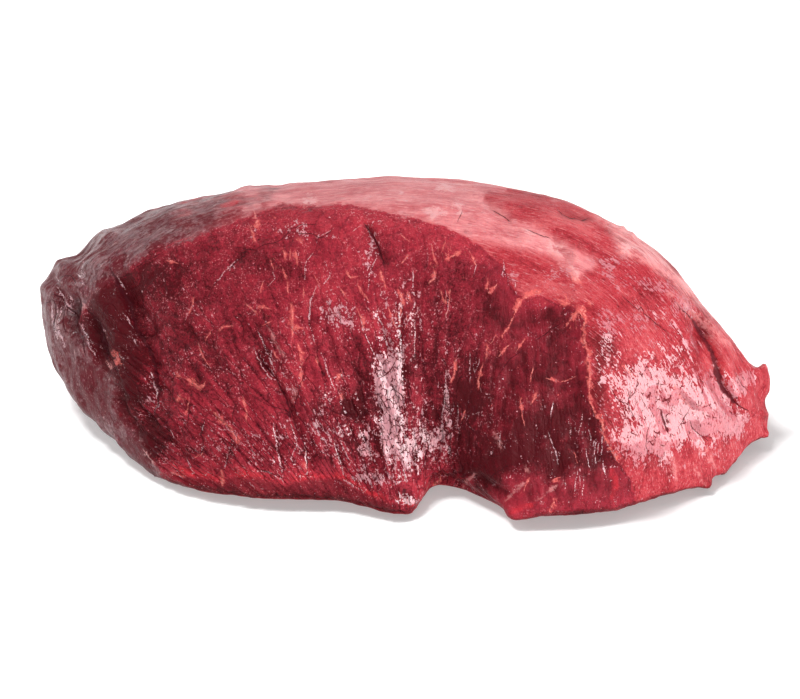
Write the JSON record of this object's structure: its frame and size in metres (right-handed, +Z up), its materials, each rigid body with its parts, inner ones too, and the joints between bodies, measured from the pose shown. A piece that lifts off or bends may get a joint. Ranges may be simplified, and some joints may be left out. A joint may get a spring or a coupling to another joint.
{
  "type": "bison rump steak",
  "caption": "Whole raw trimmed bison rump, lying on its flat side, with a dark marbled cut face, a silverskin end and a tapered ragged flap.",
  "frame": {"origin": "on the board, under the middle of the piece's bounding box", "axes": "+X along the piece from the blunt silverskin end to the tapered flap, -Y out of the dark cut face, +Z up from the board"},
  "size_m": [0.2682, 0.1484, 0.0889],
  "materials": {
    "raw_meat": "wet, dark red muscle with fine marbling, silverskin and a thin fat edge"
  },
  "bodies": {
    "root": {"rump": "raw_meat"}
  },
  "joints": []
}
